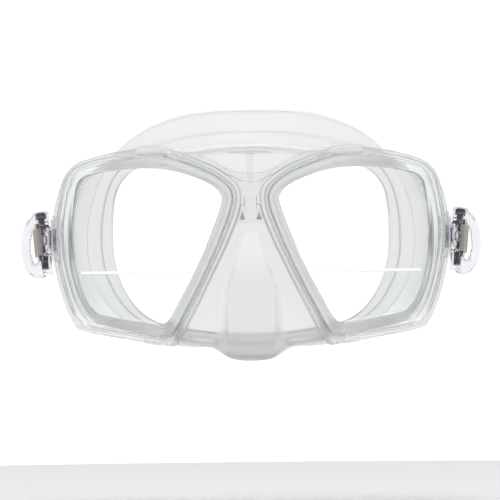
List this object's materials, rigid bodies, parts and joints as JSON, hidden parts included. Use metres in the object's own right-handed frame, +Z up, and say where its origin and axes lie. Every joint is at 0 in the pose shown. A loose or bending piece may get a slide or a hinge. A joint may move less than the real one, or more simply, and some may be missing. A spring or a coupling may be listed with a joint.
{
  "type": "diving mask",
  "caption": "Clear twin-lens diving mask with reading segments, a silicone skirt with nose pocket, and folding swivel strap buckles with toothed rollers.",
  "frame": {"origin": "on the mid-plane at eye height, in the rearmost plane of the skirt, where the face sits", "axes": "+X across the face, -Y the way the mask looks, +Z up"},
  "size_m": [0.1844, 0.0703, 0.0997],
  "materials": {
    "frame_plastic": "clear polished polycarbonate",
    "lens_glass": "clear tempered glass with a faint green tint",
    "skirt_silicone": "clear silicone, satin",
    "buckle_plastic": "clear lilac-grey plastic",
    "pin_steel": "dark steel",
    "roller_plastic": "dark plastic",
    "pawl_plastic": "smoky brown plastic"
  },
  "bodies": {
    "mask": {"main_frame": "frame_plastic", "skirt": "skirt_silicone", "bezel_right": "frame_plastic", "lens_right": "lens_glass", "reader_right": "lens_glass", "hinge_pin_right": "buckle_plastic", "bezel_left": "frame_plastic", "lens_left": "lens_glass", "reader_left": "lens_glass", "hinge_pin_left": "buckle_plastic"},
    "arm_right": {"buckle_arm_right": "buckle_plastic", "swivel_stud_right": "buckle_plastic"},
    "buckle_right": {"buckle_body_right": "buckle_plastic", "axle_right": "pin_steel", "pawl_pin_right": "pin_steel"},
    "roller_right": {"strap_roller_right": "roller_plastic"},
    "release_right": {"pawl_right": "pawl_plastic"},
    "arm_left": {"buckle_arm_left": "buckle_plastic", "swivel_stud_left": "buckle_plastic"},
    "buckle_left": {"buckle_body_left": "buckle_plastic", "axle_left": "pin_steel", "pawl_pin_left": "pin_steel"},
    "roller_left": {"strap_roller_left": "roller_plastic"},
    "release_left": {"pawl_left": "pawl_plastic"}
  },
  "joints": [
    {"name": "fold_right", "type": "hinge", "parent": "mask", "child": "arm_right", "pos_m": [0.077, -0.0395, -0.0032], "axis": [0, 0, 1], "range_deg": [-50, 20]},
    {"name": "swivel_right", "type": "hinge", "parent": "arm_right", "child": "buckle_right", "pos_m": [0.08004, -0.03297, -0.0032], "axis": [-0.9063, 0.4226, 0], "range_deg": [-30, 12]},
    {"name": "roller_spin_right", "type": "hinge", "parent": "buckle_right", "child": "roller_right", "pos_m": [0.08268, -0.0259, -0.0048], "axis": [0.0879, 0.1884, 0.9781], "continuous": true},
    {"name": "release_lever_right", "type": "hinge", "parent": "buckle_right", "child": "release_right", "pos_m": [0.0843, -0.03118, -0.00393], "axis": [-0.0879, -0.1884, -0.9781], "range_deg": [0, 14], "stiffness_Nm_per_rad": 0.01},
    {"name": "fold_left", "type": "hinge", "parent": "mask", "child": "arm_left", "pos_m": [-0.077, -0.0395, -0.0032], "axis": [0, 0, -1], "range_deg": [-50, 20]},
    {"name": "swivel_left", "type": "hinge", "parent": "arm_left", "child": "buckle_left", "pos_m": [-0.08004, -0.03297, -0.0032], "axis": [-0.9063, -0.4226, 0], "range_deg": [-30, 12]},
    {"name": "roller_spin_left", "type": "hinge", "parent": "buckle_left", "child": "roller_left", "pos_m": [-0.08268, -0.0259, -0.0048], "axis": [0.0879, -0.1884, -0.9781], "continuous": true},
    {"name": "release_lever_left", "type": "hinge", "parent": "buckle_left", "child": "release_left", "pos_m": [-0.0843, -0.03118, -0.00393], "axis": [-0.0879, 0.1884, 0.9781], "range_deg": [0, 14], "stiffness_Nm_per_rad": 0.01}
  ]
}
